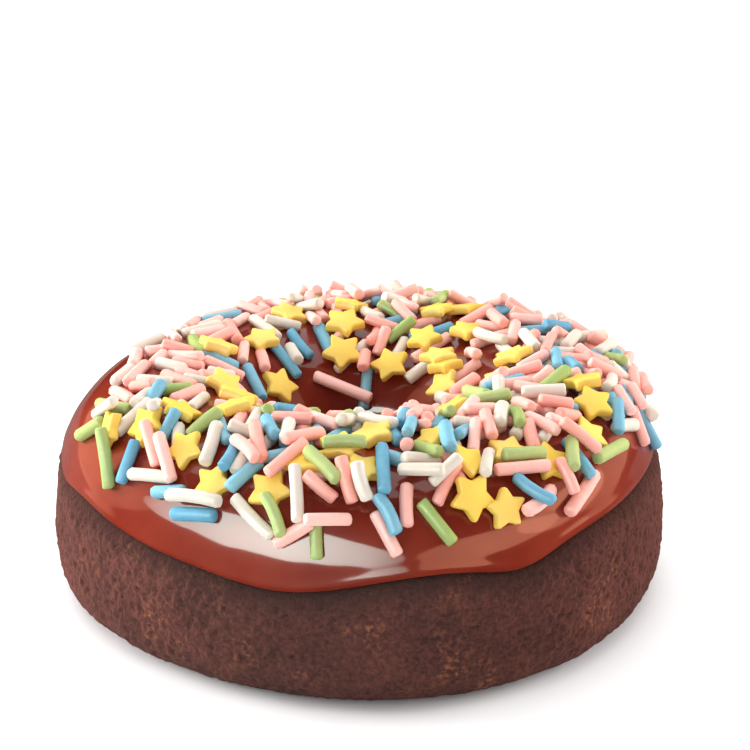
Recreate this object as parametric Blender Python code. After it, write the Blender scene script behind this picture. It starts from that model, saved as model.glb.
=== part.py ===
"""A ring doughnut with dark cake, chocolate icing over its top, and sugar strands and stars on the icing.

The section of the ring is made of four quarter curves. A place on it is given by its bearing round the
ring and by its run, the distance along the section from the crest. The run grows outwards and is negative in
the hole.
"""

import math
import random

import bmesh
import bpy
import numpy as np
from mathutils import Matrix, Vector

MM = 0.001

# Section of the ring, out to the icing's outer face
WIDEST_RADIUS = 42.5 * MM
WIDEST_HEIGHT = 7.9 * MM
BASE_RADIUS = 36.7 * MM
CREST_RADIUS = 28.0 * MM
CREST_HEIGHT = 30.0 * MM
THROAT_RADIUS = 9.0 * MM
THROAT_HEIGHT = 13.0 * MM
BASE_HOLE_RADIUS = 15.0 * MM
SKIRT_POWER = 2.6
SHOULDER_POWER = 2.55
HOLE_POWER = 2.3

# How far the ring is out of round: waves round the side, and a hole that sits to one side
SIDE_WAVES = ((2, 0.10 * MM, 163.0), (3, 0.54 * MM, 55.0), (4, 0.21 * MM, 35.0))
HOLE_SHIFT = (-1.3 * MM, -0.3 * MM)
CENTRING = (0.36 * MM, 0.27 * MM)

# Icing: its thickness, its clearance to the cake, and its rim, which sags in lobes
ICING_THICKNESS = 1.2 * MM
CLEARANCE = 0.3 * MM
RIM_HEIGHT = 20.8 * MM
RIM_LOBES = (  # bearing in degrees, sag, half-width in degrees
    (-166.0, 1.4 * MM, 9.0),
    (-127.0, 3.1 * MM, 33.0),
    (-103.0, 1.9 * MM, 15.0),
    (-74.0, 1.9 * MM, 40.0),
    (-62.0, 1.6 * MM, 9.0),
    (32.0, 1.6 * MM, 16.0),
    (76.0, 2.8 * MM, 18.0),
    (118.0, 1.3 * MM, 14.0),
    (152.0, 2.2 * MM, 13.0),
)
ICING_END_HEIGHT = 15.0 * MM
BEAD = 0.5 * MM

# Sugar strands and stars
STRAND_RADIUS = 0.88 * MM
STRAND_LENGTHS = (4.6 * MM, 7.2 * MM)
STAR_RADIUS = 3.2 * MM
STAR_WAIST = 0.56
STAR_THICKNESS = 1.3 * MM
SINK = 0.28 * MM
STEEPEST = 0.45
LAYOUT_SEED = 9
HEAP_INNER_RUN = -15.0 * MM
HEAP_OUTER_RUN = 12.5 * MM
FRONT_DIP = 5.0 * MM
LEFT_DIP = 7.5 * MM
LEFT_THINNING = 0.55
MOST_HEAPED = 2.3 * MM
STAR_GUARD = 3.1 * MM
RIM_MARGIN = 2.0 * MM
LOWER_STRANDS = 90
UPPER_STRANDS = 45
TRIES = 24

# Stars that show on top of the heap: bearing in degrees, run in millimetres
TOP_STARS = (
    (-134, -4), (-142, 2), (-144, 6.5), (-152, 9.5), (-120, 10.5), (-108, 10), (-102, 6), (-95, 3),
    (-87, -1.5), (-90, 6.5), (-72, 1), (-68, 6.5), (-57, 6), (-70, 11), (-64, 13), (-50, 9), (-45, -10),
    (-34, 8), (-25, 5.5), (-18, 3), (-2, -8), (10, -6), (13, -15), (25, -13), (34, -12.5), (44, -6),
    (56, -10), (58, 1), (64, -3), (66, -15), (94, -2), (96, -8), (97, -13.5), (115, -2.5), (135, -8),
    (145, -16), (158, -6), (-166, -9), (-146, -8), (-130, 7.3),
)

# Loose strands along the front: colour, bearing, run in millimetres, turn from the ring's direction, length
FRONT_STRANDS = (
    ("green", -147, 12.5, 62, 8), ("blue", -142, 11.5, 80, 6), ("white", -135, 12, 168, 7),
    ("pink", -138, 8.5, 42, 6.5), ("pink", -132, 9.5, 45, 7), ("blue", -129, 13, 163, 5),
    ("white", -122, 13, 174, 8), ("blue", -122, 14.8, 170, 6.5), ("white", -125, 5.5, 67, 7.5),
    ("blue", -119, 6.5, 75, 6), ("white", -116, 6, 90, 5.5), ("blue", -114, 8.5, 116, 5.5),
    ("pink", -114, 4, 58, 7), ("pink", -106, 6, 116, 7), ("white", -110, 13.5, 33, 7.5),
    ("green", -106, 13, 57, 6), ("white", -102, 10.5, 78, 7.5), ("pink", -102, 14.7, 146, 6),
    ("pink", -96, 13, 172, 6), ("green", -98, 15.2, 85, 5), ("green", -98, 7, 45, 6.5),
    ("pink", -98, 9.2, 30, 5), ("pink", -93, 8.5, 72, 6), ("white", -90, 9, 72, 5),
    ("green", -94, 4, 176, 5.5), ("blue", -86, 7, 92, 8), ("blue", -86, 12.3, 66, 5.5),
    ("white", -79, 8, 23, 6), ("pink", -82, 11, 96, 5.5), ("pink", -74, 9, 128, 6),
    ("pink", -86, 14.3, 64, 6), ("green", -77, 13.3, 58, 6.5), ("green", -76, 4.5, 66, 5.5),
    ("blue", -71, 4, 104, 5.5), ("blue", -64, 1, 130, 7), ("white", -65, 7.6, 127, 6),
    ("pink", -58, 9, 12, 7.5), ("pink", -57, 13, 163, 6.3), ("blue", -58, 11.7, 62, 6),
    ("pink", -50, 11.5, 90, 5), ("pink", -46, 14, 156, 8), ("green", -56, 7.5, 14, 6),
    ("green", -46, 9.5, 136, 6), ("blue", -43, 10, 100, 6.5), ("pink", -42, 8.3, 57, 6.5),
    ("green", -34, 11.3, 4, 7.5), ("pink", -15, 12, 131, 6), ("blue", -11, 13.5, 93, 6.5),
    ("white", -21, 10.4, 20, 6), ("white", -158, 8, 156, 7.5), ("green", -160, 7, 151, 6),
    ("green", -160, 11, 140, 6.5), ("white", -147, 4, 30, 6), ("white", -78, 6, 172, 5.5),
    ("white", -74.5, 8.2, 150, 5), ("blue", 81, -18, 90, 7), ("pink", 99, -18.4, 30, 9),
    ("green", -2, 13, 60, 5), ("white", -8, 11.5, 150, 5.5),
)
STRAND_COLOURS = ("pink", "green", "white", "pink", "blue", "pink", "white", "blue", "pink")

# Coarseness of the solids
SPOKES = 44
COVER_STATIONS = 9
STRAND_SIDES = 5
STRAND_FULLNESS = 1.08


def clear_scene():
    for thing in list(bpy.data.objects):
        bpy.data.objects.remove(thing)


def make_collection(name, hidden=False):
    collection = bpy.data.collections.new(name)
    collection.hide_render = hidden
    bpy.context.scene.collection.children.link(collection)
    return collection


def make_material(name, colour, roughness):
    material = bpy.data.materials.new(name)
    material.use_nodes = True
    shader = material.node_tree.nodes["Principled BSDF"]
    shader.inputs["Base Color"].default_value = (*colour, 1.0)
    shader.inputs["Roughness"].default_value = roughness
    shader.inputs["Metallic"].default_value = 0.0
    return material


def quarter_curve(corner, reach, power, start, end, count=160):
    """A quarter of a squarish oval about corner, from one angle in degrees to another."""
    angles = np.radians(np.linspace(start, end, count))
    across = np.round(np.cos(angles), 12)
    upward = np.round(np.sin(angles), 12)
    radius = corner[0] + reach[0] * np.sign(across) * np.abs(across) ** (2 / power)
    height = corner[1] + reach[1] * np.sign(upward) * np.abs(upward) ** (2 / power)
    return np.column_stack([radius, height])[:-1]


def ring_section():
    """Run, radius and height along the whole section, from the foot inside the hole to the foot outside."""
    skirt = quarter_curve(
        (BASE_RADIUS, WIDEST_HEIGHT), (WIDEST_RADIUS - BASE_RADIUS, WIDEST_HEIGHT), SKIRT_POWER, -90, 0
    )
    shoulder = quarter_curve(
        (CREST_RADIUS, WIDEST_HEIGHT),
        (WIDEST_RADIUS - CREST_RADIUS, CREST_HEIGHT - WIDEST_HEIGHT),
        SHOULDER_POWER, 0, 90,
    )
    lip = quarter_curve(
        (CREST_RADIUS, THROAT_HEIGHT),
        (CREST_RADIUS - THROAT_RADIUS, CREST_HEIGHT - THROAT_HEIGHT),
        HOLE_POWER, 90, 180,
    )
    under = quarter_curve(
        (BASE_HOLE_RADIUS, THROAT_HEIGHT),
        (BASE_HOLE_RADIUS - THROAT_RADIUS, THROAT_HEIGHT),
        HOLE_POWER, 180, 270,
    )
    foot = np.array([[BASE_HOLE_RADIUS, 0.0]])
    points = np.concatenate([skirt, shoulder, lip, under, foot])
    length = np.concatenate([[0.0], np.cumsum(np.linalg.norm(np.diff(points, axis=0), axis=1))])
    run = length[len(skirt) + len(shoulder)] - length
    return run[::-1], points[::-1, 0], points[::-1, 1]


SECTION_RUN, SECTION_RADIUS, SECTION_HEIGHT = ring_section()
SECTION_SLOPE = np.gradient(np.column_stack([SECTION_RADIUS, SECTION_HEIGHT]), SECTION_RUN, axis=0)
SECTION_SLOPE /= np.linalg.norm(SECTION_SLOPE, axis=1)[:, None]
OUTER_RUN = SECTION_RUN[-1]
INNER_RUN = SECTION_RUN[0]


def section_at(run):
    """Radius, height and the two parts of the outward normal at a run."""
    radius = np.interp(run, SECTION_RUN, SECTION_RADIUS)
    height = np.interp(run, SECTION_RUN, SECTION_HEIGHT)
    out = np.interp(run, SECTION_RUN, -SECTION_SLOPE[:, 1])
    up = np.interp(run, SECTION_RUN, SECTION_SLOPE[:, 0])
    return radius, height, out, up


def run_at_height(height, outside):
    """The run where the section passes a height, on the outer side or in the hole."""
    side = SECTION_RUN > 0 if outside else SECTION_RUN < 0
    heights, runs = SECTION_HEIGHT[side], SECTION_RUN[side]
    order = np.argsort(heights)
    return float(np.interp(height, heights[order], runs[order]))


def smooth(share):
    share = np.clip(share, 0.0, 1.0)
    return share * share * (3 - 2 * share)


def out_of_round(points):
    """Points of the true ring moved to the uneven one: the side swells in waves and the hole shifts."""
    x, y, z = np.asarray(points).T
    radius = np.hypot(x, y)
    bearing = np.arctan2(y, x)
    swell = sum(
        size * np.cos(count * (bearing + math.pi / 2) - math.radians(phase))
        for count, size, phase in SIDE_WAVES
    )
    swell = swell * smooth((radius - CREST_RADIUS) / (WIDEST_RADIUS - CREST_RADIUS))
    inward = smooth(1.6 * (1 - radius / CREST_RADIUS))
    x = x + swell * np.cos(bearing) + HOLE_SHIFT[0] * inward + CENTRING[0]
    y = y + swell * np.sin(bearing) + HOLE_SHIFT[1] * inward + CENTRING[1]
    return np.column_stack([x, y, z])


def rim_run(bearing):
    """The run of the icing's rim at a bearing in radians."""
    height = RIM_HEIGHT
    for centre, sag, width in RIM_LOBES:
        away = (math.degrees(bearing) - centre + 180) % 360 - 180
        height -= sag * math.exp(-((away / width) ** 2))
    return run_at_height(height, outside=True)


ICING_END_RUN = run_at_height(ICING_END_HEIGHT, outside=False)


def make_ring(name, stations, material):
    """A torus whose sections take the shape that stations gives at each bearing: runs and depths."""
    count = len(stations(0.0)[0])
    bpy.ops.mesh.primitive_torus_add(
        major_segments=SPOKES, minor_segments=count, major_radius=CREST_RADIUS, minor_radius=THROAT_RADIUS
    )
    ring = bpy.context.object
    ring.name = ring.data.name = name
    ring.data.materials.append(material)
    places = []
    for spoke in range(SPOKES):
        bearing = 2 * math.pi * spoke / SPOKES
        runs, depths = stations(bearing)
        radius, height, out, up = section_at(np.array(runs))
        radius = radius - out * depths
        height = height - up * depths
        places.append(np.column_stack([radius * math.cos(bearing), radius * math.sin(bearing), height]))
    places = out_of_round(np.concatenate(places))
    ring.data.vertices.foreach_set("co", places.ravel())
    ring.data.shade_smooth()
    ring.data.set_sharp_from_angle(angle=math.radians(50))
    return ring


def cake_stations(bearing):
    """The cake: flush below the icing's rim, and set back by the icing and its clearance under it."""
    rim = rim_run(bearing)
    covered = ICING_THICKNESS + CLEARANCE
    end = ICING_END_RUN
    rows = [(run, 0.0) for run in np.linspace(OUTER_RUN, rim + 4 * MM, 7)]
    rows += [(rim + 1.6 * MM, 0.25 * MM), (rim + 0.7 * MM, 0.8 * MM), (rim + CLEARANCE, covered)]
    rows += [(run, covered) for run in np.linspace(rim - BEAD, end + BEAD, COVER_STATIONS)]
    rows += [(end - CLEARANCE, covered), (end - 1.5 * MM, 0.2 * MM)]
    rows += [(run, 0.0) for run in np.linspace(end - 4 * MM, INNER_RUN, 4)]
    return np.array(rows).T


def icing_stations(bearing):
    """The icing: a shell with a rounded rim, outer face first, then back along its inner face."""
    rim = rim_run(bearing)
    end = ICING_END_RUN
    runs = np.linspace(rim - BEAD, end + BEAD, COVER_STATIONS)
    rows = [(rim, 0.3 * ICING_THICKNESS)]
    rows += [(run, 0.0) for run in runs]
    rows += [(end, 0.3 * ICING_THICKNESS), (end, 0.7 * ICING_THICKNESS)]
    rows += [(run, ICING_THICKNESS) for run in runs[::-1]]
    rows += [(rim, 0.7 * ICING_THICKNESS)]
    return np.array(rows).T


def clearance_over_icing(points):
    """How far each point of the true ring's space lies above the icing's face."""
    radius = np.hypot(points[:, 0], points[:, 1])
    flat = np.column_stack([radius, points[:, 2]])
    section = np.column_stack([SECTION_RADIUS, SECTION_HEIGHT])[::4]
    slope = SECTION_SLOPE[::4]
    nearest = np.argmin(((flat[:, None, :] - section[None, :, :]) ** 2).sum(axis=2), axis=1)
    gap = flat - section[nearest]
    return -gap[:, 0] * slope[nearest, 1] + gap[:, 1] * slope[nearest, 0]


class Sprinkle:
    """One strand or star: its kind, its length, and the balls that stand for it when it settles."""

    def __init__(self, colour, length=None):
        self.colour = colour
        self.length = length
        if colour == "yellow":
            self.ball = STAR_THICKNESS / 2
            angles = np.radians(np.arange(5) * 72.0)
            points = np.column_stack([np.cos(angles), np.sin(angles)])
            reach = STAR_RADIUS - self.ball
            self.balls = np.concatenate([[[0.0, 0.0]], 0.5 * reach * points, reach * points])
            steps = np.array([-0.5, -0.25, 0.0, 0.25, 0.5])
            self.slopes = np.array([(a, b) for a in steps for b in steps])
        else:
            self.ball = STRAND_RADIUS
            along = np.linspace(-0.5, 0.5, 7) * (length - 2 * STRAND_RADIUS)
            self.balls = np.column_stack([along, np.zeros(7)])
            steps = np.linspace(-STEEPEST, STEEPEST, 13)
            self.slopes = np.column_stack([steps, np.zeros(13)])

    def place(self, bearing, run, turn, heap):
        """Settles on the heap at a bearing, run and turn. Gives its height there."""
        radius, height, out, up = section_at(run)
        spoke = np.array([math.cos(bearing), math.sin(bearing), 0.0])
        along_ring = np.array([-math.sin(bearing), math.cos(bearing), 0.0])
        normal = out * spoke + np.array([0.0, 0.0, up])
        down = up * spoke - np.array([0.0, 0.0, out])
        ahead = math.cos(turn) * along_ring + math.sin(turn) * down
        aside = np.cross(normal, ahead)
        foot = radius * spoke + np.array([0.0, 0.0, height])
        spots = foot + self.balls[:, :1] * ahead + self.balls[:, 1:] * aside
        needed = heap.needed_height(spots, normal, self.ball)
        lifts = (needed[None, :] - self.slopes @ self.balls.T).max(axis=1)
        best = int(np.argmin(lifts + 0.2 * MM * np.linalg.norm(self.slopes, axis=1)))
        self.centre = foot + lifts[best] * normal
        first = ahead + self.slopes[best, 0] * normal
        second = aside + self.slopes[best, 1] * normal
        self.ahead = first / np.linalg.norm(first)
        second -= second.dot(self.ahead) * self.ahead
        self.aside = second / np.linalg.norm(second)
        return lifts[best]

    def ball_centres(self):
        return self.centre + self.balls[:, :1] * self.ahead + self.balls[:, 1:] * self.aside

    def matrix(self):
        """Where it lies on the uneven ring, with its length along X and its thickness along Z."""
        ends = np.array([self.centre - 0.5 * MM * self.ahead, self.centre + 0.5 * MM * self.ahead,
                         self.centre - 0.5 * MM * self.aside, self.centre + 0.5 * MM * self.aside])
        ends = out_of_round(ends)
        ahead = Vector(ends[1] - ends[0]).normalized()
        upward = ahead.cross(Vector(ends[3] - ends[2])).normalized()
        turned = Matrix((ahead, upward.cross(ahead), upward)).transposed().to_4x4()
        return Matrix.Translation(Vector(ends[:2].mean(axis=0))) @ turned


class Heap:
    """What already lies on the icing."""

    def __init__(self):
        self.pieces = []
        self.centres = np.empty((0, 3))
        self.radii = np.empty(0)

    def needed_height(self, spots, normal, ball):
        """How far along normal a ball at each spot has to rise to lie on the icing and on the heap."""
        needed = ball - SINK - clearance_over_icing(spots)
        if len(self.radii):
            to_ball = self.centres[None, :, :] - spots[:, None, :]
            along = to_ball @ normal
            aside = (to_ball**2).sum(axis=2) - along**2
            touch = (self.radii + ball - SINK) ** 2 - aside
            lift = np.where(touch > 0, along + np.sqrt(np.maximum(touch, 0.0)), -1.0)
            needed = np.maximum(needed, lift.max(axis=1))
        return needed

    def covers_star(self, strand):
        """Whether a strand would hide the middle of a star."""
        stars = [piece.centre for piece in self.pieces if piece.colour == "yellow"]
        if not stars:
            return False
        apart = strand.ball_centres()[:, None, :] - np.array(stars)[None, :, :]
        return bool(np.linalg.norm(apart, axis=2).min() < STAR_GUARD)

    def add(self, piece):
        self.pieces.append(piece)
        balls = piece.ball_centres()
        self.centres = np.concatenate([self.centres, balls])
        self.radii = np.concatenate([self.radii, np.full(len(balls), piece.ball)])


def leftness(bearing):
    """How far a bearing is on the back left, from 0 to 1."""
    return float(smooth(math.cos(bearing - math.radians(165))))


def heap_edge(bearing):
    """The run where the heap thins out, which is nearer the crest at the front and at the back left."""
    front = float(smooth((math.cos(bearing + math.radians(100)) + 0.35) / 0.9))
    return HEAP_OUTER_RUN - max(FRONT_DIP * front, LEFT_DIP * leftness(bearing))


def random_strand(draw, heap, lengths=STRAND_LENGTHS):
    """A strand in the lowest of a few places tried, clear of the stars. None where it would lie high."""
    colour = draw.choice(STRAND_COLOURS)
    length = draw.uniform(*lengths)
    found = []
    for _ in range(TRIES):
        bearing = draw.uniform(-math.pi, math.pi)
        turn = draw.uniform(0.0, math.pi)
        run = draw.uniform(HEAP_INNER_RUN, heap_edge(bearing))
        reach = 0.5 * length * abs(math.sin(turn)) + RIM_MARGIN
        if run + reach > rim_run(bearing) or draw.random() * WIDEST_RADIUS > section_at(run)[0]:
            continue
        strand = Sprinkle(colour, length)
        height = strand.place(bearing, run, turn, heap)
        most = MOST_HEAPED * (1 - LEFT_THINNING * leftness(bearing))
        if height < most and not heap.covers_star(strand):
            found.append((height, len(found), strand))
    if found:
        heap.add(min(found)[2])


def lay_sprinkles():
    """The heap, from the bottom up: strands, the stars and strands on top, and strands in the gaps."""
    draw = random.Random(LAYOUT_SEED)
    heap = Heap()
    for _ in range(LOWER_STRANDS):
        random_strand(draw, heap)
    for bearing, run in TOP_STARS:
        star = Sprinkle("yellow")
        star.place(math.radians(bearing), run * MM, draw.uniform(0.0, math.pi), heap)
        heap.add(star)
    for colour, bearing, run, turn, length in sorted(FRONT_STRANDS, key=lambda row: -row[2]):
        strand = Sprinkle(colour, length * MM)
        strand.place(math.radians(bearing), run * MM, math.radians(turn), heap)
        heap.add(strand)
    for _ in range(UPPER_STRANDS):
        random_strand(draw, heap)
    return heap.pieces


def make_strand(length):
    """A five-sided rod along X, as full as a round strand."""
    shape = bmesh.new()
    radius = STRAND_RADIUS * STRAND_FULLNESS
    turned = Matrix.Rotation(math.radians(90), 4, "Y")
    bmesh.ops.create_cone(
        shape, cap_ends=True, segments=STRAND_SIDES,
        radius1=radius, radius2=radius, depth=length, matrix=turned,
    )
    return shape


def make_star():
    """A five-pointed tablet, flat across Z."""
    shape = bmesh.new()
    bmesh.ops.create_circle(shape, cap_ends=True, segments=10, radius=STAR_RADIUS)
    for number, vertex in enumerate(shape.verts[:]):
        if number % 2:
            vertex.co *= STAR_WAIST
    bmesh.ops.translate(shape, verts=shape.verts[:], vec=(0.0, 0.0, -STAR_THICKNESS / 2))
    raised = bmesh.ops.extrude_face_region(shape, geom=shape.faces[:])["geom"]
    moved = [part for part in raised if isinstance(part, bmesh.types.BMVert)]
    bmesh.ops.translate(shape, verts=moved, vec=(0.0, 0.0, STAR_THICKNESS))
    bmesh.ops.recalc_face_normals(shape, faces=shape.faces[:])
    return shape


def fuse_sprinkles(icing, pieces, loose):
    """One union of the icing with every sprinkle, keeping the one body that they make."""
    for number, piece in enumerate(pieces):
        shape = make_star() if piece.colour == "yellow" else make_strand(piece.length)
        shape.transform(piece.matrix())
        mesh = bpy.data.meshes.new(f"sprinkle_{number:03d}")
        shape.to_mesh(mesh)
        shape.free()
        loose.objects.link(bpy.data.objects.new(mesh.name, mesh))
    union = icing.modifiers.new("sprinkles", "BOOLEAN")
    union.operation = "UNION"
    union.operand_type = "COLLECTION"
    union.collection = loose
    union.solver = "MANIFOLD"
    bpy.context.view_layer.update()
    graph = bpy.context.evaluated_depsgraph_get()
    fused = bpy.data.meshes.new_from_object(icing.evaluated_get(graph))
    icing.modifiers.clear()
    icing.data = fused
    for thing in list(loose.objects):
        bpy.data.objects.remove(thing)
    bpy.data.collections.remove(loose)
    keep_largest_body(icing.data)


def keep_largest_body(mesh):
    """Removes scraps that touch nothing and the walls of sealed hollows."""
    shape = bmesh.new()
    shape.from_mesh(mesh)
    unseen = set(shape.verts)
    bodies = []
    while unseen:
        front = [unseen.pop()]
        body = list(front)
        while front:
            for edge in front.pop().link_edges:
                for vertex in edge.verts:
                    if vertex in unseen:
                        unseen.remove(vertex)
                        front.append(vertex)
                        body.append(vertex)
        bodies.append(body)
    bodies.sort(key=len)
    for body in bodies[:-1]:
        bmesh.ops.delete(shape, geom=body, context="VERTS")
    shape.to_mesh(mesh)
    shape.free()


def main():
    clear_scene()
    parts = make_collection("ring_doughnut")
    loose = make_collection("sprinkles", hidden=True)
    cake_brown = make_material("cake_brown", (0.075, 0.030, 0.020), 0.85)
    icing_brown = make_material("icing_brown", (0.150, 0.032, 0.012), 0.18)
    cake = make_ring("cake", cake_stations, cake_brown)
    icing = make_ring("icing", icing_stations, icing_brown)
    for piece in (cake, icing):
        for collection in list(piece.users_collection):
            collection.objects.unlink(piece)
        parts.objects.link(piece)
    fuse_sprinkles(icing, lay_sprinkles(), loose)
    for piece in (cake, icing):
        print(piece.name, sum(len(face.vertices) - 2 for face in piece.data.polygons), "triangles")


main()
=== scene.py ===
# %% [markdown]
# # A ring doughnut under chocolate icing, with sugar strands and stars
#
# The real thing is made in three steps. A ring of dark cake is baked, its top is dipped in warm chocolate
# icing, which runs down the side and into the hole and sets with a rounded rim, and sugar strands and stars
# are shaken over it while it is still wet. This script follows the same order: cake, icing, sugar, and then
# the finishes, the light and the camera.
#
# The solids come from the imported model. They fix every size, and the pieces made here lie exactly on them.

# %% Load the frame and keep its box
import math
import random

import bmesh
import bpy
import numpy as np
from mathutils import Matrix, Vector, noise


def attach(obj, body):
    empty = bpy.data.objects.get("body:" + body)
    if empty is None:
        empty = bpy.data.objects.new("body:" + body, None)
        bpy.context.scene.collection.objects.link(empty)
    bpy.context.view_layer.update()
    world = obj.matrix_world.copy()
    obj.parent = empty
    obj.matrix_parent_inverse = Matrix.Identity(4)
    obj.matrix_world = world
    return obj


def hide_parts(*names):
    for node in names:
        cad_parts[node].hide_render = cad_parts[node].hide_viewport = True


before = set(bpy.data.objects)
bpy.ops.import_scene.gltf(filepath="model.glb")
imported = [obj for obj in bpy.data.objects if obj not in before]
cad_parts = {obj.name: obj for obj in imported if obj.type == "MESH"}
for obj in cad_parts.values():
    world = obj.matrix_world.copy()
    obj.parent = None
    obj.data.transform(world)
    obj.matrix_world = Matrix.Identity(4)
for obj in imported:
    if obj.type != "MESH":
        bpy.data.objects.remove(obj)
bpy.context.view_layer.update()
MM = 0.001
print("solids:", sorted(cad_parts))

# %% [markdown]
# ## The camera
#
# The photograph was taken with a long lens, about three tenths of a metre away and 23 degrees above the
# floor. The camera's place and the point it looks at were fitted to the doughnut's outline. A long lens from
# further off would show the back strands nearly as large as the front ones, which the photo doesn't.

# %% Place the camera
CAMERA_DISTANCE = 300 * MM
CAMERA_ELEVATION = math.radians(22.63)
ORBIT_HEIGHT = 15 * MM
CENTRING = (0.36 * MM, 0.27 * MM)
AIM_POINT = (2.1 * MM, 0.27 * MM, 29.53 * MM)
FOCAL_PIXELS = 2121
FRAME_PIXELS = 750
SENSOR_WIDTH = 36.0

camera_data = bpy.data.cameras.new("camera")
camera_data.sensor_width = SENSOR_WIDTH
camera_data.lens = SENSOR_WIDTH * FOCAL_PIXELS / FRAME_PIXELS
camera_data.clip_start = 0.01
camera = bpy.data.objects.new("camera", camera_data)
camera.location = (
    CENTRING[0],
    CENTRING[1] - CAMERA_DISTANCE * math.cos(CAMERA_ELEVATION),
    ORBIT_HEIGHT + CAMERA_DISTANCE * math.sin(CAMERA_ELEVATION),
)
camera.rotation_euler = (Vector(AIM_POINT) - camera.location).to_track_quat("-Z", "Y").to_euler()
bpy.context.scene.collection.objects.link(camera)
bpy.context.scene.camera = camera
print("lens:", round(camera_data.lens, 1), "mm")

# %% [markdown]
# ## The section of the ring
#
# Cut the ring through and one side of the cut is a fat, squarish oval: a rounded foot, a steep side, a
# broad crest and a lip that rolls into the hole. Four quarter curves make it. A place on it is told by its
# run, the distance along the section from the crest, which grows outwards and is negative in the hole. That
# suits icing and strands, because both lie along the surface and not along straight axes.

# %% Build the section
WIDEST_RADIUS = 42.5 * MM
WIDEST_HEIGHT = 7.9 * MM
BASE_RADIUS = 36.7 * MM
CREST_RADIUS = 28.0 * MM
CREST_HEIGHT = 30.0 * MM
THROAT_RADIUS = 9.0 * MM
THROAT_HEIGHT = 13.0 * MM
BASE_HOLE_RADIUS = 15.0 * MM
SKIRT_POWER = 2.6
SHOULDER_POWER = 2.55
HOLE_POWER = 2.3


def quarter_curve(corner, reach, power, start, end, count=160):
    """A quarter of a squarish oval about corner, from one angle in degrees to another."""
    angles = np.radians(np.linspace(start, end, count))
    across = np.round(np.cos(angles), 12)
    upward = np.round(np.sin(angles), 12)
    radius = corner[0] + reach[0] * np.sign(across) * np.abs(across) ** (2 / power)
    height = corner[1] + reach[1] * np.sign(upward) * np.abs(upward) ** (2 / power)
    return np.column_stack([radius, height])[:-1]


def ring_section():
    """Run, radius and height along the whole section, from the foot inside the hole to the foot outside."""
    skirt = quarter_curve(
        (BASE_RADIUS, WIDEST_HEIGHT), (WIDEST_RADIUS - BASE_RADIUS, WIDEST_HEIGHT), SKIRT_POWER, -90, 0
    )
    shoulder = quarter_curve(
        (CREST_RADIUS, WIDEST_HEIGHT),
        (WIDEST_RADIUS - CREST_RADIUS, CREST_HEIGHT - WIDEST_HEIGHT),
        SHOULDER_POWER, 0, 90,
    )
    lip = quarter_curve(
        (CREST_RADIUS, THROAT_HEIGHT),
        (CREST_RADIUS - THROAT_RADIUS, CREST_HEIGHT - THROAT_HEIGHT),
        HOLE_POWER, 90, 180,
    )
    under = quarter_curve(
        (BASE_HOLE_RADIUS, THROAT_HEIGHT),
        (BASE_HOLE_RADIUS - THROAT_RADIUS, THROAT_HEIGHT),
        HOLE_POWER, 180, 270,
    )
    foot = np.array([[BASE_HOLE_RADIUS, 0.0]])
    points = np.concatenate([skirt, shoulder, lip, under, foot])
    length = np.concatenate([[0.0], np.cumsum(np.linalg.norm(np.diff(points, axis=0), axis=1))])
    run = length[len(skirt) + len(shoulder)] - length
    return run[::-1], points[::-1, 0], points[::-1, 1]


SECTION_RUN, SECTION_RADIUS, SECTION_HEIGHT = ring_section()
SECTION_SLOPE = np.gradient(np.column_stack([SECTION_RADIUS, SECTION_HEIGHT]), SECTION_RUN, axis=0)
SECTION_SLOPE /= np.linalg.norm(SECTION_SLOPE, axis=1)[:, None]
OUTER_RUN = SECTION_RUN[-1]
INNER_RUN = SECTION_RUN[0]


def section_at(run):
    """Radius, height and the two parts of the outward normal at a run."""
    radius = np.interp(run, SECTION_RUN, SECTION_RADIUS)
    height = np.interp(run, SECTION_RUN, SECTION_HEIGHT)
    out = np.interp(run, SECTION_RUN, -SECTION_SLOPE[:, 1])
    up = np.interp(run, SECTION_RUN, SECTION_SLOPE[:, 0])
    return radius, height, out, up


def run_at_height(height, outside):
    """The run where the section passes a height, on the outer side or in the hole."""
    side = SECTION_RUN > 0 if outside else SECTION_RUN < 0
    heights, runs = SECTION_HEIGHT[side], SECTION_RUN[side]
    order = np.argsort(heights)
    return float(np.interp(height, heights[order], runs[order]))


print("the section is", round((OUTER_RUN - INNER_RUN) / MM, 1), "mm long")

# %% [markdown]
# ## Out of round
#
# No doughnut is a true circle. The side swells in a few shallow waves, and the hole sits a little to one
# side. One function moves points of a true ring to the uneven one, so that cake, icing and strands all
# follow the same unevenness.

# %% Bend a true ring into an uneven one
SIDE_WAVES = ((2, 0.10 * MM, 163.0), (3, 0.54 * MM, 55.0), (4, 0.21 * MM, 35.0))
HOLE_SHIFT = (-1.3 * MM, -0.3 * MM)


def smooth(share):
    share = np.clip(share, 0.0, 1.0)
    return share * share * (3 - 2 * share)


def out_of_round(points):
    """Points of the true ring moved to the uneven one: the side swells in waves and the hole shifts."""
    x, y, z = np.asarray(points).T
    radius = np.hypot(x, y)
    bearing = np.arctan2(y, x)
    swell = sum(
        size * np.cos(count * (bearing + math.pi / 2) - math.radians(phase))
        for count, size, phase in SIDE_WAVES
    )
    swell = swell * smooth((radius - CREST_RADIUS) / (WIDEST_RADIUS - CREST_RADIUS))
    inward = smooth(1.6 * (1 - radius / CREST_RADIUS))
    x = x + swell * np.cos(bearing) + HOLE_SHIFT[0] * inward + CENTRING[0]
    y = y + swell * np.sin(bearing) + HOLE_SHIFT[1] * inward + CENTRING[1]
    return np.column_stack([x, y, z])


turns = np.linspace(-math.pi, math.pi, 73)
widest = out_of_round(np.column_stack([np.cos(turns), np.sin(turns), 0 * turns]) * WIDEST_RADIUS)
reach = np.ptp(widest, axis=0) / MM
print("the ring is", round(reach[0], 1), "by", round(reach[1], 1), "mm across")

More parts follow.
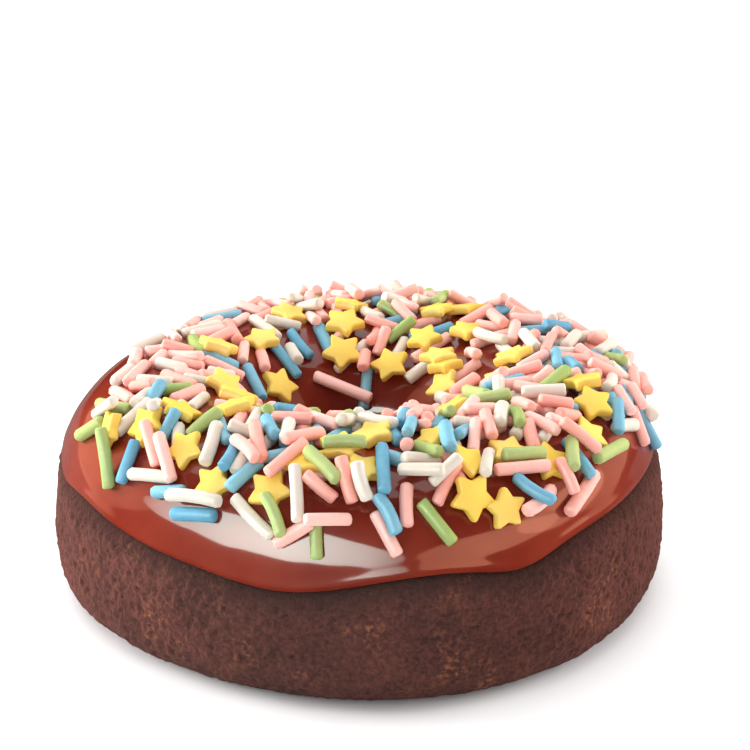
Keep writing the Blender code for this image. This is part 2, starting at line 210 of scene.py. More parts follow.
# %% [markdown]
# ## The icing's rim
#
# Icing runs until it sets. Where more of it gathered, the rim hangs lower, in rounded lobes. Each lobe here
# has a bearing, a sag and a width, and the rim's height at a bearing is the highest rim less all the sags.

# %% Work out the rim
ICING_THICKNESS = 1.2 * MM
CLEARANCE = 0.3 * MM
RIM_HEIGHT = 20.8 * MM
RIM_LOBES = (  # bearing in degrees, sag, half-width in degrees
    (-166.0, 1.4 * MM, 9.0),
    (-127.0, 3.1 * MM, 33.0),
    (-103.0, 1.9 * MM, 15.0),
    (-74.0, 1.9 * MM, 40.0),
    (-62.0, 1.6 * MM, 9.0),
    (32.0, 1.6 * MM, 16.0),
    (76.0, 2.8 * MM, 18.0),
    (118.0, 1.3 * MM, 14.0),
    (152.0, 2.2 * MM, 13.0),
)
ICING_END_HEIGHT = 15.0 * MM
ICING_END_RUN = run_at_height(ICING_END_HEIGHT, outside=False)


def rim_run(bearing):
    """The run of the icing's rim at a bearing in radians."""
    height = RIM_HEIGHT
    for centre, sag, width in RIM_LOBES:
        away = (math.degrees(bearing) - centre + 180) % 360 - 180
        height -= sag * math.exp(-((away / width) ** 2))
    return run_at_height(height, outside=True)


rim_heights = [section_at(rim_run(math.radians(bearing)))[1] / MM for bearing in range(-180, 180, 2)]
print("the rim hangs between", round(min(rim_heights), 1), "and", round(max(rim_heights), 1), "mm up")

# %% [markdown]
# ## From bmesh to object
#
# Every piece is shaped as a bmesh first. At the end it becomes a mesh with smooth shading, in an object that
# stays at the origin, so that patterns on Object coordinates keep their places on all pieces.

# %% Finish a piece
def finish_piece(name, shape):
    """A shaped bmesh made into a smooth object at the origin."""
    mesh = bpy.data.meshes.new(name)
    shape.to_mesh(mesh)
    shape.free()
    mesh.shade_smooth()
    piece = bpy.data.objects.new(name, mesh)
    bpy.context.scene.collection.objects.link(piece)
    triangles = sum(len(face.vertices) - 2 for face in mesh.polygons)
    print(name, "has", triangles, "triangles")
    return piece


# %% [markdown]
# ## Turning a ring
#
# Cake and icing are both turned shapes. A few vertices make the section's outline, and each carries the
# number of its station on it. One full spin of many hundred steps would be slow, so a short spin makes one
# sector, a second spin copies the sector round the ring, and the seams are welded. The number of spokes is a
# multiple of the number of sectors. After that every vertex knows its bearing and its station, so a function
# can say where it belongs. Faces come from the spin alone.

# %% Spin a section and put each vertex in its place
SECTORS = 30
SEAM = 0.001 * MM


def spin_ring(name, spokes, stations, relief, mark=None):
    """A closed section turned about Z. stations(bearing) gives the runs and the depths under the outline.

    relief gives how far each point is raised, and mark gives a value that the material can read as "mark".
    """
    runs, depths = stations(0.0)
    radius, height, out, up = section_at(runs)
    shape = bmesh.new()
    station = shape.verts.layers.int.new("station")
    outline = []
    for number in range(len(runs)):
        vertex = shape.verts.new((radius[number] - out[number] * depths[number], 0.0,
                                  height[number] - up[number] * depths[number]))
        vertex[station] = number
        outline.append(vertex)
    edges = [shape.edges.new((outline[number - 1], outline[number])) for number in range(len(outline))]
    sector = 2 * math.pi / SECTORS
    axis = {"cent": (0, 0, 0), "axis": (0, 0, 1)}
    bmesh.ops.spin(shape, geom=outline + edges, angle=sector, steps=spokes // SECTORS, **axis)
    whole = shape.verts[:] + shape.edges[:] + shape.faces[:]
    rest = 2 * math.pi - sector
    bmesh.ops.spin(shape, geom=whole, angle=rest, steps=SECTORS - 1, use_duplicate=True, **axis)
    bmesh.ops.remove_doubles(shape, verts=shape.verts[:], dist=SEAM)
    places = []
    marks = []
    for spoke in range(spokes):
        bearing = 2 * math.pi * spoke / spokes
        runs, depths = stations(bearing)
        radius, height, out, up = section_at(runs)
        lift = relief(bearing, runs, depths, radius, height) - depths
        marks.append(mark(bearing, runs) if mark else np.zeros(len(runs)))
        radius = radius + out * lift
        height = height + up * lift
        ring = np.column_stack([radius * math.cos(bearing), radius * math.sin(bearing), height])
        places.append(out_of_round(ring))
    marking = shape.verts.layers.float.new("mark")
    for vertex in shape.verts:
        spoke = round(math.atan2(vertex.co.y, vertex.co.x) / (2 * math.pi) * spokes) % spokes
        vertex[marking] = marks[spoke][vertex[station]]
        vertex.co = places[spoke][vertex[station]]
    bmesh.ops.recalc_face_normals(shape, faces=shape.faces[:])
    shape.verts.layers.int.remove(station)
    return finish_piece(name, shape)


# %% [markdown]
# ## The cake
#
# Baked crumb is full of fine pores, with a few larger dents where the ring pressed against the tin. Pores
# about a millimetre across are real relief on the side that shows, and the finer ones are left to the
# finish. The rest, under the icing and on the base, has wider spaced stations, because nobody sees it. Noise
# of two sizes gives the dents and the grain, and a cell pattern gives the pores.

# %% Space the cake's stations
SIDE_STATIONS = 82
COVERED_STATIONS = 8
LOWER_STATIONS = 10

# Steps of the crumb beside the icing's edge, at the rim and in the hole: millimetres away, millimetres deep
RIM_STEPS = ((2.0, 0.08), (1.6, 0.20), (1.2, 0.36), (0.8, 0.56), (0.4, 0.80))
HOLE_STEPS = ((0.5, 0.8), (1.2, 0.3))


def cake_stations(bearing):
    """The cake: flush below the icing's rim, and set back by the icing and its clearance under it."""
    rim = rim_run(bearing)
    covered = ICING_THICKNESS + CLEARANCE
    end = ICING_END_RUN
    rows = [(run, 0.0) for run in np.linspace(OUTER_RUN, rim + 2.4 * MM, SIDE_STATIONS)]
    rows += [(rim + away * MM, depth * MM) for away, depth in RIM_STEPS]
    rows += [(rim, covered)]
    rows += [(run, covered) for run in np.linspace(rim - 2 * MM, end + 1 * MM, COVERED_STATIONS)]
    rows += [(end, covered)]
    rows += [(end - away * MM, depth * MM) for away, depth in HOLE_STEPS]
    rows += [(run, 0.0) for run in np.linspace(end - 3 * MM, INNER_RUN, LOWER_STATIONS)]
    return np.array(rows).T


print("the cake's section has", cake_stations(0.0).shape[1], "stations")

# %% [markdown]
# The relief is worked out at each vertex from its place in space, so it joins up all round. It fades out on
# the flat base, which has to stay flat to stand on, and under the icing. A mark on each vertex tells the
# finish how close it is to the icing's rim, where the crumb is painted darker, as the shade under the rim.

# %% Turn the cake
CAKE_SPOKES = 840
PORE_SIZE = 1.5 * MM
PORE_DEPTH = 0.40 * MM
PORE_NARROWING = 2.6
DENT_SIZE = 7.0 * MM
DENT_DEPTH = 0.25 * MM
GRAIN_SIZE = 0.95 * MM
GRAIN_DEPTH = 0.26 * MM
COVERED_FADE = 0.5 * MM
BASE_FADE = 1.5 * MM
# How far below the icing's rim the crumb is painted darker, as the rim's shade.
UNDER_RIM_SHADE_WIDTH = 3.2 * MM


def place_on_ring(bearing, radius, height):
    """A point from its bearing, its distance from the axis and its height."""
    return Vector((radius * math.cos(bearing), radius * math.sin(bearing), height))


def crumb_relief(bearing, runs, depths, radius, height):
    """Pores and dents on the crumb that shows, fading out on the flat base and under the icing."""
    lift = np.zeros(len(runs))
    for number in range(len(runs)):
        bare = max(0.0, 1 - depths[number] / COVERED_FADE)
        above_base = min(1.0, height[number] / BASE_FADE)
        if bare * above_base == 0:
            continue
        place = place_on_ring(bearing, radius[number], height[number])
        dents = noise.noise(place / DENT_SIZE)
        grain = noise.noise(place / GRAIN_SIZE)
        near = noise.voronoi(place / PORE_SIZE)[0][0]
        pore = max(0.0, 1 - near * PORE_NARROWING)
        lift[number] = bare * above_base * (DENT_DEPTH * dents + GRAIN_DEPTH * grain - PORE_DEPTH * pore)
    return lift


def under_rim_shade(bearing, runs):
    """1 at the icing's rim and under it, and 0 a few millimetres further down: where the crumb is painted
    darker, as the rim's shade.
    """
    return smooth(1.3 - (runs - rim_run(bearing)) / UNDER_RIM_SHADE_WIDTH)


cake = spin_ring("cake_crumb", CAKE_SPOKES, cake_stations, crumb_relief, under_rim_shade)

# %% [markdown]
# ## The icing
#
# The icing is one thin shell. Its outer face follows the section, its rim is a rounded bead, a little
# thicker than the rest because surface tension holds it there, and its inner face lies just over the cake.
# The stations lie closest together at the bead, where the surface turns fastest.

# %% Space the icing's stations
FACE_STATIONS = 76
BACK_STATIONS = 12
FACE_INSET = 0.35 * MM
BACK_INSET = 0.5 * MM

# The rounded edge of the shell: how many millimetres each station lies back, and its share of the thickness
ROUNDING = ((0.05, 0.12), (0.0, 0.28), (-0.02, 0.5), (0.02, 0.72), (0.12, 0.88))


def icing_stations(bearing):
    """The icing: its face from rim to hole, the rounded end there, its inner face and its rounded rim."""
    rim = rim_run(bearing)
    end = ICING_END_RUN
    thick = ICING_THICKNESS
    steps = finer_start(np.linspace(0, 1, FACE_STATIONS))
    face = rim - FACE_INSET - (rim - end - 2 * FACE_INSET) * steps
    back = np.linspace(end + BACK_INSET, rim - BACK_INSET, BACK_STATIONS)
    rows = [(run, 0.0) for run in face]
    rows += [(end + back_off * MM, share * thick) for back_off, share in ROUNDING]
    rows += [(run, thick) for run in back]
    rows += [(rim - back_off * 2 * MM, share * thick) for back_off, share in reversed(ROUNDING)]
    return np.array(rows).T


def finer_start(share):
    """Even steps from 0 to 1 made smaller at the start."""
    return share * (0.35 + 0.65 * share)


print("the icing's section has", icing_stations(0.0).shape[1], "stations")

# %% [markdown]
# Slow waves up to a tenth of a millimetre high are what make a poured surface look poured, because they bend
# reflections. They and the bead lift the outer face alone. The inner face stays clear of the cake.

# %% Turn the icing
ICING_SPOKES = 540
BEAD_PLACE = 0.5 * MM
BEAD_WIDTH = 0.8 * MM
BEAD_RISE = 0.07 * MM
WAVE_SIZE = 9.0 * MM
WAVE_HEIGHT = 0.10 * MM
RIPPLE_SIZE = 3.2 * MM
RIPPLE_HEIGHT = 0.018 * MM
RIPPLE_OFFSET = Vector((7, 3, 1))
COVERED_SHARE = 0.6


def poured_relief(bearing, runs, depths, radius, height):
    """A bead along the rim, slow waves and faint ripples, on the outer face only."""
    rim = rim_run(bearing)
    lift = np.zeros(len(runs))
    for number in range(len(runs)):
        face = max(0.0, 1 - depths[number] / (COVERED_SHARE * ICING_THICKNESS))
        if face == 0:
            continue
        place = place_on_ring(bearing, radius[number], height[number])
        bead = math.exp(-(((rim - runs[number] - BEAD_PLACE) / BEAD_WIDTH) ** 2))
        waves = noise.noise(place / WAVE_SIZE)
        ripples = noise.noise(place / RIPPLE_SIZE + RIPPLE_OFFSET)
        lift[number] = face * (BEAD_RISE * bead + WAVE_HEIGHT * waves + RIPPLE_HEIGHT * ripples)
    return lift


icing = spin_ring("icing_shell", ICING_SPOKES, icing_stations, poured_relief)

# %% [markdown]
# ## How sprinkles settle
#
# Shaken strands fall, slide into a gap and come to rest on whatever is below. A real simulation would do
# it, but a rule is quicker and gives the same heap each time. A row of balls stands for each strand, and a
# rosette of balls for each star. For every ball the rule works out how high it has to be to lie on the icing
# and on the balls already there, and then it picks the tilt that lets the whole piece lie lowest. Loose
# strands try several places and take the lowest, so they fill gaps first, as falling ones do. The solids
# were laid by this same rule.

# %% Measure heights over the icing
def clearance_over_icing(points):
    """How far each point of the true ring's space lies above the icing's face."""
    radius = np.hypot(points[:, 0], points[:, 1])
    flat = np.column_stack([radius, points[:, 2]])
    section = np.column_stack([SECTION_RADIUS, SECTION_HEIGHT])[::4]
    slope = SECTION_SLOPE[::4]
    nearest = np.argmin(((flat[:, None, :] - section[None, :, :]) ** 2).sum(axis=2), axis=1)
    gap = flat - section[nearest]
    return -gap[:, 0] * slope[nearest, 1] + gap[:, 1] * slope[nearest, 0]


probe = np.array([[CREST_RADIUS, 0.0, CREST_HEIGHT + 2 * MM]])
print("a point 2 mm over the crest lies", round(clearance_over_icing(probe)[0] / MM, 2), "mm over the icing")

# %% [markdown]
# A sprinkle has a colour and, if it is a strand, a length. Its balls lie in its own flat plane. To settle,
# it tries a fan of slopes. Each slope needs some height to clear what is below, and the lowest one wins.

# %% Describe a sprinkle
STRAND_RADIUS = 0.88 * MM
STAR_RADIUS = 3.2 * MM
STAR_THICKNESS = 1.3 * MM
STEEPEST = 0.45


class Sprinkle:
    """One strand or star: its kind, its length, and the balls that stand for it when it settles."""

    def __init__(self, colour, length=None):
        self.colour = colour
        self.length = length
        if colour == "yellow":
            self.ball = STAR_THICKNESS / 2
            angles = np.radians(np.arange(5) * 72.0)
            points = np.column_stack([np.cos(angles), np.sin(angles)])
            reach = STAR_RADIUS - self.ball
            self.balls = np.concatenate([[[0.0, 0.0]], 0.5 * reach * points, reach * points])
            steps = np.array([-0.5, -0.25, 0.0, 0.25, 0.5])
            self.slopes = np.array([(a, b) for a in steps for b in steps])
        else:
            self.ball = STRAND_RADIUS
            along = np.linspace(-0.5, 0.5, 7) * (length - 2 * STRAND_RADIUS)
            self.balls = np.column_stack([along, np.zeros(7)])
            steps = np.linspace(-STEEPEST, STEEPEST, 13)
            self.slopes = np.column_stack([steps, np.zeros(13)])

    def place(self, bearing, run, turn, heap):
        """Settles on the heap at a bearing, run and turn. Gives its height there."""
        radius, height, out, up = section_at(run)
        spoke = np.array([math.cos(bearing), math.sin(bearing), 0.0])
        along_ring = np.array([-math.sin(bearing), math.cos(bearing), 0.0])
        normal = out * spoke + np.array([0.0, 0.0, up])
        down = up * spoke - np.array([0.0, 0.0, out])
        ahead = math.cos(turn) * along_ring + math.sin(turn) * down
        aside = np.cross(normal, ahead)
        foot = radius * spoke + np.array([0.0, 0.0, height])
        spots = foot + self.balls[:, :1] * ahead + self.balls[:, 1:] * aside
        needed = heap.needed_height(spots, normal, self.ball)
        lifts = (needed[None, :] - self.slopes @ self.balls.T).max(axis=1)
        best = int(np.argmin(lifts + 0.2 * MM * np.linalg.norm(self.slopes, axis=1)))
        self.centre = foot + lifts[best] * normal
        first = ahead + self.slopes[best, 0] * normal
        second = aside + self.slopes[best, 1] * normal
        self.ahead = first / np.linalg.norm(first)
        second -= second.dot(self.ahead) * self.ahead
        self.aside = second / np.linalg.norm(second)
        return lifts[best]

    def ball_centres(self):
        return self.centre + self.balls[:, :1] * self.ahead + self.balls[:, 1:] * self.aside

    def matrix(self):
        """Where it lies on the uneven ring, with its length along X and its thickness along Z."""
        ends = np.array([self.centre - 0.5 * MM * self.ahead, self.centre + 0.5 * MM * self.ahead,
                         self.centre - 0.5 * MM * self.aside, self.centre + 0.5 * MM * self.aside])
        ends = out_of_round(ends)
        ahead = Vector(ends[1] - ends[0]).normalized()
        upward = ahead.cross(Vector(ends[3] - ends[2])).normalized()
        turned = Matrix((ahead, upward.cross(ahead), upward)).transposed().to_4x4()
        return Matrix.Translation(Vector(ends[:2].mean(axis=0))) @ turned


print("strands are", round(2 * STRAND_RADIUS / MM, 2), "mm thick")
print("stars are", round(2 * STAR_RADIUS / MM, 2), "mm wide")

# %% [markdown]
# The heap remembers the balls of everything that lies on the icing. A new ball may touch the icing and the
# balls below it, and sinks a little into both, as wet icing and uneven sugar allow. The guard round a star's
# middle keeps later strands from hiding it.

# %% Describe the heap
SINK = 0.28 * MM
STAR_GUARD = 3.1 * MM


class Heap:
    """What already lies on the icing."""

    def __init__(self):
        self.pieces = []
        self.centres = np.empty((0, 3))
        self.radii = np.empty(0)

    def needed_height(self, spots, normal, ball):
        """How far along normal a ball at each spot has to rise to lie on the icing and on the heap."""
        needed = ball - SINK - clearance_over_icing(spots)
        if len(self.radii):
            to_ball = self.centres[None, :, :] - spots[:, None, :]
            along = to_ball @ normal
            aside = (to_ball**2).sum(axis=2) - along**2
            touch = (self.radii + ball - SINK) ** 2 - aside
            lift = np.where(touch > 0, along + np.sqrt(np.maximum(touch, 0.0)), -1.0)
            needed = np.maximum(needed, lift.max(axis=1))
        return needed

    def covers_star(self, strand):
        """Whether a strand would hide the middle of a star."""
        stars = [piece.centre for piece in self.pieces if piece.colour == "yellow"]
        if not stars:
            return False
        apart = strand.ball_centres()[:, None, :] - np.array(stars)[None, :, :]
        return bool(np.linalg.norm(apart, axis=2).min() < STAR_GUARD)

    def add(self, piece):
        self.pieces.append(piece)
        balls = piece.ball_centres()
        self.centres = np.concatenate([self.centres, balls])
        self.radii = np.concatenate([self.radii, np.full(len(balls), piece.ball)])


# %% [markdown]
# ## Where they lie
#
# The heap is thick round the hole and thins out towards the rim. At the front and at the back left it stops
# early, so that a crescent of bare icing shows. The stars, the loose strands along the front and the two in
# the hole are the ones an eye picks out, so their places are given one by one. All the others are drawn at
# random from a fixed seed. The last ones are short strands that fill the gaps, which only this script has.

# %% Choose the places that an eye picks out
# Stars that show on top of the heap: bearing in degrees, run in millimetres
TOP_STARS = (
    (-134, -4), (-142, 2), (-144, 6.5), (-152, 9.5), (-120, 10.5), (-108, 10), (-102, 6), (-95, 3),
    (-87, -1.5), (-90, 6.5), (-72, 1), (-68, 6.5), (-57, 6), (-70, 11), (-64, 13), (-50, 9), (-45, -10),
    (-34, 8), (-25, 5.5), (-18, 3), (-2, -8), (10, -6), (13, -15), (25, -13), (34, -12.5), (44, -6),
    (56, -10), (58, 1), (64, -3), (66, -15), (94, -2), (96, -8), (97, -13.5), (115, -2.5), (135, -8),
    (145, -16), (158, -6), (-166, -9), (-146, -8), (-130, 7.3),
)

# Loose strands: colour, bearing, run in millimetres, turn from the ring's direction, length in millimetres
FRONT_STRANDS = (
    ("green", -147, 12.5, 62, 8), ("blue", -142, 11.5, 80, 6), ("white", -135, 12, 168, 7),
    ("pink", -138, 8.5, 42, 6.5), ("pink", -132, 9.5, 45, 7), ("blue", -129, 13, 163, 5),
    ("white", -122, 13, 174, 8), ("blue", -122, 14.8, 170, 6.5), ("white", -125, 5.5, 67, 7.5),
    ("blue", -119, 6.5, 75, 6), ("white", -116, 6, 90, 5.5), ("blue", -114, 8.5, 116, 5.5),
    ("pink", -114, 4, 58, 7), ("pink", -106, 6, 116, 7), ("white", -110, 13.5, 33, 7.5),
    ("green", -106, 13, 57, 6), ("white", -102, 10.5, 78, 7.5), ("pink", -102, 14.7, 146, 6),
    ("pink", -96, 13, 172, 6), ("green", -98, 15.2, 85, 5), ("green", -98, 7, 45, 6.5),
    ("pink", -98, 9.2, 30, 5), ("pink", -93, 8.5, 72, 6), ("white", -90, 9, 72, 5),
    ("green", -94, 4, 176, 5.5), ("blue", -86, 7, 92, 8), ("blue", -86, 12.3, 66, 5.5),
    ("white", -79, 8, 23, 6), ("pink", -82, 11, 96, 5.5), ("pink", -74, 9, 128, 6),
    ("pink", -86, 14.3, 64, 6), ("green", -77, 13.3, 58, 6.5), ("green", -76, 4.5, 66, 5.5),
    ("blue", -71, 4, 104, 5.5), ("blue", -64, 1, 130, 7), ("white", -65, 7.6, 127, 6),
    ("pink", -58, 9, 12, 7.5), ("pink", -57, 13, 163, 6.3), ("blue", -58, 11.7, 62, 6),
    ("pink", -50, 11.5, 90, 5), ("pink", -46, 14, 156, 8), ("green", -56, 7.5, 14, 6),
    ("green", -46, 9.5, 136, 6), ("blue", -43, 10, 100, 6.5), ("pink", -42, 8.3, 57, 6.5),
    ("green", -34, 11.3, 4, 7.5), ("pink", -15, 12, 131, 6), ("blue", -11, 13.5, 93, 6.5),
    ("white", -21, 10.4, 20, 6), ("white", -158, 8, 156, 7.5), ("green", -160, 7, 151, 6),
    ("green", -160, 11, 140, 6.5), ("white", -147, 4, 30, 6), ("white", -78, 6, 172, 5.5),
    ("white", -74.5, 8.2, 150, 5), ("blue", 81, -18, 90, 7), ("pink", 99, -18.4, 30, 9),
    ("green", -2, 13, 60, 5), ("white", -8, 11.5, 150, 5.5),
)
print(len(TOP_STARS), "stars and", len(FRONT_STRANDS), "strands have chosen places")

# %% [markdown]
# A random strand tries a couple of dozen places inside the edge of the heap. A place is left out where the
# strand would reach the rim, lie too high or hide a star. Places near the axis are drawn less often, since
# there is less icing there, and so the strands lie equally dense everywhere.

# %% Drop one random strand
STRAND_LENGTHS = (4.6 * MM, 7.2 * MM)
STRAND_COLOURS = ("pink", "green", "white", "pink", "blue", "pink", "white", "blue", "pink")
HEAP_INNER_RUN = -15.0 * MM
HEAP_OUTER_RUN = 12.5 * MM
FRONT_DIP = 5.0 * MM
LEFT_DIP = 7.5 * MM
LEFT_THINNING = 0.55
MOST_HEAPED = 2.3 * MM
RIM_MARGIN = 2.0 * MM
TRIES = 24


def leftness(bearing):
    """How far a bearing is on the back left, from 0 to 1."""
    return float(smooth(math.cos(bearing - math.radians(165))))


def heap_edge(bearing):
    """The run where the heap thins out, which is nearer the crest at the front and at the back left."""
    front = float(smooth((math.cos(bearing + math.radians(100)) + 0.35) / 0.9))
    return HEAP_OUTER_RUN - max(FRONT_DIP * front, LEFT_DIP * leftness(bearing))


def random_strand(draw, heap, lengths=STRAND_LENGTHS, colours=STRAND_COLOURS):
    """Adds a strand to the heap in the lowest of a few places tried, clear of the stars. Adds none where
    every place tried lies high.
    """
    colour = draw.choice(colours)
    length = draw.uniform(*lengths)
    found = []
    for _ in range(TRIES):
        bearing = draw.uniform(-math.pi, math.pi)
        turn = draw.uniform(0.0, math.pi)
        run = draw.uniform(HEAP_INNER_RUN, heap_edge(bearing))
        reach = 0.5 * length * abs(math.sin(turn)) + RIM_MARGIN
        if run + reach > rim_run(bearing) or draw.random() * WIDEST_RADIUS > section_at(run)[0]:
            continue
        strand = Sprinkle(colour, length)
        height = strand.place(bearing, run, turn, heap)
        most = MOST_HEAPED * (1 - LEFT_THINNING * leftness(bearing))
        if height < most and not heap.covers_star(strand):
            found.append((height, len(found), strand))
    if found:
        heap.add(min(found)[2])


for side, bearing in (("front", -90), ("back left", 165), ("back", 90)):
    past_crest = round(heap_edge(math.radians(bearing)) / MM, 1)
    print("at the", side, "the heap ends", past_crest, "mm past the crest")

# %% [markdown]
# The order makes the heap. A lower layer comes first, then the chosen stars and strands, so that they show,
# then more strands in the lowest places left. The short strands of the filling come last. They are mostly
# pink and white, which keeps the whole heap as pale as the real one.

# %% Lay them from the bottom up
LAYOUT_SEED = 9
LOWER_STRANDS = 90
UPPER_STRANDS = 45
FILLING_STRANDS = 250
FILLING_LENGTHS = (4.0 * MM, 6.4 * MM)
FILLING_COLOURS = ("pink", "white", "green", "pink", "blue", "pink", "white", "pink", "pink")


def lay_sprinkles():
    """The heap, from the bottom up: strands, the stars and strands on top, and strands in the gaps."""
    draw = random.Random(LAYOUT_SEED)
    heap = Heap()
    for _ in range(LOWER_STRANDS):
        random_strand(draw, heap)
    for bearing, run in TOP_STARS:
        star = Sprinkle("yellow")
        star.place(math.radians(bearing), run * MM, draw.uniform(0.0, math.pi), heap)
        heap.add(star)
    for colour, bearing, run, turn, length in sorted(FRONT_STRANDS, key=lambda row: -row[2]):
        strand = Sprinkle(colour, length * MM)
        strand.place(math.radians(bearing), run * MM, math.radians(turn), heap)
        heap.add(strand)
    for _ in range(UPPER_STRANDS):
        random_strand(draw, heap)
    for _ in range(FILLING_STRANDS):
        random_strand(draw, heap, FILLING_LENGTHS, FILLING_COLOURS)
    return heap.pieces


sprinkles = lay_sprinkles()
print(len(sprinkles), "sprinkles lie on the icing")

# %% [markdown]
# ## The shape of a strand
#
# Sugar strands are pressed through a die and broken off, so each is a rod with blunt, slightly rounded ends,
# and many are a little bent. A cylinder with its end edges bevelled is enough. It is repeated hundreds of
# times, so it has only a few dozen faces, and smooth shading hides them.

# %% Model one strand
STRAND_SIDES = 9
STRAND_CUTS = 2
END_ROUNDING = 0.34 * MM


def long_edges(shape, least):
    """The edges that reach further than least along X."""
    return [edge for edge in shape.edges if abs(edge.verts[0].co.x - edge.verts[1].co.x) > least]


def strand_shape(length, bend, fullness):
    """A rod along X with rounded ends, bent sideways by bend."""
    shape = bmesh.new()
    radius = STRAND_RADIUS * fullness
    turned = Matrix.Rotation(math.radians(90), 4, "Y")
    bmesh.ops.create_cone(
        shape, cap_ends=True, segments=STRAND_SIDES,
        radius1=radius, radius2=radius, depth=length, matrix=turned,
    )
    sides = long_edges(shape, length / 2)
    rims = [edge for edge in shape.edges if edge not in sides]
    bmesh.ops.bevel(
        shape, geom=rims, offset=END_ROUNDING, affect="EDGES", segments=2, profile=0.5, material=-1
    )
    bmesh.ops.subdivide_edges(shape, edges=long_edges(shape, length / 2), cuts=STRAND_CUTS)
    for vertex in shape.verts:
        vertex.co.y += bend * (1 - (2 * vertex.co.x / length) ** 2)
    return shape


sample = strand_shape(6 * MM, 0.0, 1.0)
print("a strand has", len(sample.faces), "faces")
sample.free()

# %% [markdown]
# ## The shape of a star
#
# A sugar star is stamped from a rolled sheet, so it is a flat tablet. A circle of ten points with every
# other one drawn in makes its outline. Its points are blunted, the outline is extruded to the sheet's
# thickness, and a bevel rounds the edges of both flat sides.

# %% Model one star
STAR_WAIST = 0.56
POINT_ROUNDING = 0.55 * MM
RIM_ROUNDING = 0.3 * MM


def star_shape(fullness, thickness):
    """A five-pointed sugar tablet, flat across Z, with blunt points and rounded edges."""
    shape = bmesh.new()
    bmesh.ops.create_circle(shape, cap_ends=True, segments=10, radius=STAR_RADIUS * fullness)
    for number, vertex in enumerate(shape.verts[:]):
        if number % 2:
            vertex.co *= STAR_WAIST
    points = [vertex for vertex in shape.verts if vertex.co.length > 0.9 * STAR_RADIUS * fullness]
    bmesh.ops.bevel(
        shape, geom=points, offset=POINT_ROUNDING, affect="VERTICES", segments=2, profile=0.5, material=-1
    )
    bmesh.ops.translate(shape, verts=shape.verts[:], vec=(0.0, 0.0, -thickness / 2))
    raised = bmesh.ops.extrude_face_region(shape, geom=shape.faces[:])["geom"]
    moved = [part for part in raised if isinstance(part, bmesh.types.BMVert)]
    bmesh.ops.translate(shape, verts=moved, vec=(0.0, 0.0, thickness))
    bmesh.ops.recalc_face_normals(shape, faces=shape.faces[:])
    flats = [face for face in shape.faces if abs(face.normal.z) > 0.9]
    rims = list({edge for face in flats for edge in face.edges})
    bmesh.ops.bevel(
        shape, geom=rims, offset=RIM_ROUNDING, affect="EDGES", segments=2, profile=0.5, material=-1
    )
    return shape


sample = star_shape(1.0, STAR_THICKNESS)
print("a star has", len(sample.faces), "faces")
sample.free()

# %% [markdown]
# ## Joining them, one piece for each colour
#
# Hundreds of separate objects are slow to handle. Each colour becomes one mesh instead. No two strands or
# stars come out alike: their fullness varies, many strands bend a little, and slow noise leaves each one
# faintly lumpy. Every one gets its own number between 0 and 1 on its vertices, called tint, and the material
# reads it to make some a little paler or deeper, as dyed sugar is.

# %% Join the sprinkles by colour
SHAPE_SEED = 5
STRAND_FULLNESS = (0.87, 1.08)
MOST_BEND = 0.5 * MM
BEND_SHARES = (0.0, 0.0, 0.25, 0.6, 1.0)
STAR_FULLNESS = (0.94, 1.06)
STAR_FATNESS = (0.9, 1.15)
STAR_STRETCH = (0.93, 1.05)
LUMP_SIZE = 1.1 * MM
LUMP_HEIGHT = 0.05
LUMP_SPREAD = 50


def one_sprinkle(piece, draw):
    """The shape of one strand or star where it lies, a little different from its neighbours."""
    if piece.colour == "yellow":
        shape = star_shape(draw.uniform(*STAR_FULLNESS), STAR_THICKNESS * draw.uniform(*STAR_FATNESS))
        shape.transform(Matrix.Diagonal((draw.uniform(*STAR_STRETCH), 1.0, 1.0, 1.0)))
    else:
        bend = draw.choice(BEND_SHARES) * draw.uniform(-MOST_BEND, MOST_BEND)
        shape = strand_shape(piece.length, bend, draw.uniform(*STRAND_FULLNESS))
    lump = Vector((draw.random(), draw.random(), draw.random())) * LUMP_SPREAD
    for vertex in shape.verts:
        vertex.co *= 1 + LUMP_HEIGHT * noise.noise(vertex.co / LUMP_SIZE + lump)
    shape.transform(piece.matrix())
    return shape


def join_sprinkles(name, pieces, draw):
    """All the sprinkles of one colour as one mesh, each with a tint of its own."""
    joined = bmesh.new()
    tint = joined.verts.layers.float.new("tint")
    for piece in pieces:
        shape = one_sprinkle(piece, draw)
        value = draw.random()
        copy = bpy.data.meshes.new("sprinkle")
        shape.to_mesh(copy)
        shape.free()
        before = len(joined.verts)
        joined.from_mesh(copy)
        joined.verts.ensure_lookup_table()
        for vertex in joined.verts[before:]:
            vertex[tint] = value
        bpy.data.meshes.remove(copy)
    made = finish_piece(name, joined)
    made.data.set_sharp_from_angle(angle=math.radians(60))
    return made


SPRINKLE_NAMES = {
    "pink": "strands_pink",
    "white": "strands_white",
    "blue": "strands_blue",
    "green": "strands_green",
    "yellow": "stars_yellow",
}
sugar = {}
shape_draw = random.Random(SHAPE_SEED)
for colour, name in SPRINKLE_NAMES.items():
    pieces = [piece for piece in sprinkles if piece.colour == colour]
    sugar[colour] = join_sprinkles(name, pieces, shape_draw)

# %% [markdown]
# ## Helpers for materials
#
# Each finish is a small tree of nodes. A helper adds a node and sets its values in one call. The textures
# all read Object coordinates, which are metres here, so a pattern's size can be given as a real size.

# %% Node helpers
def add_node(tree, kind, inputs=None, **settings):
    """A node of a kind, with its settings, and with its sockets set to values or joined to other sockets."""
    node = tree.nodes.new(kind)
    for key, value in settings.items():
        setattr(node, key, value)
    for key, value in (inputs or {}).items():
        if isinstance(value, bpy.types.NodeSocket):
            tree.links.new(value, node.inputs[key])
        else:
            node.inputs[key].default_value = value
    return node


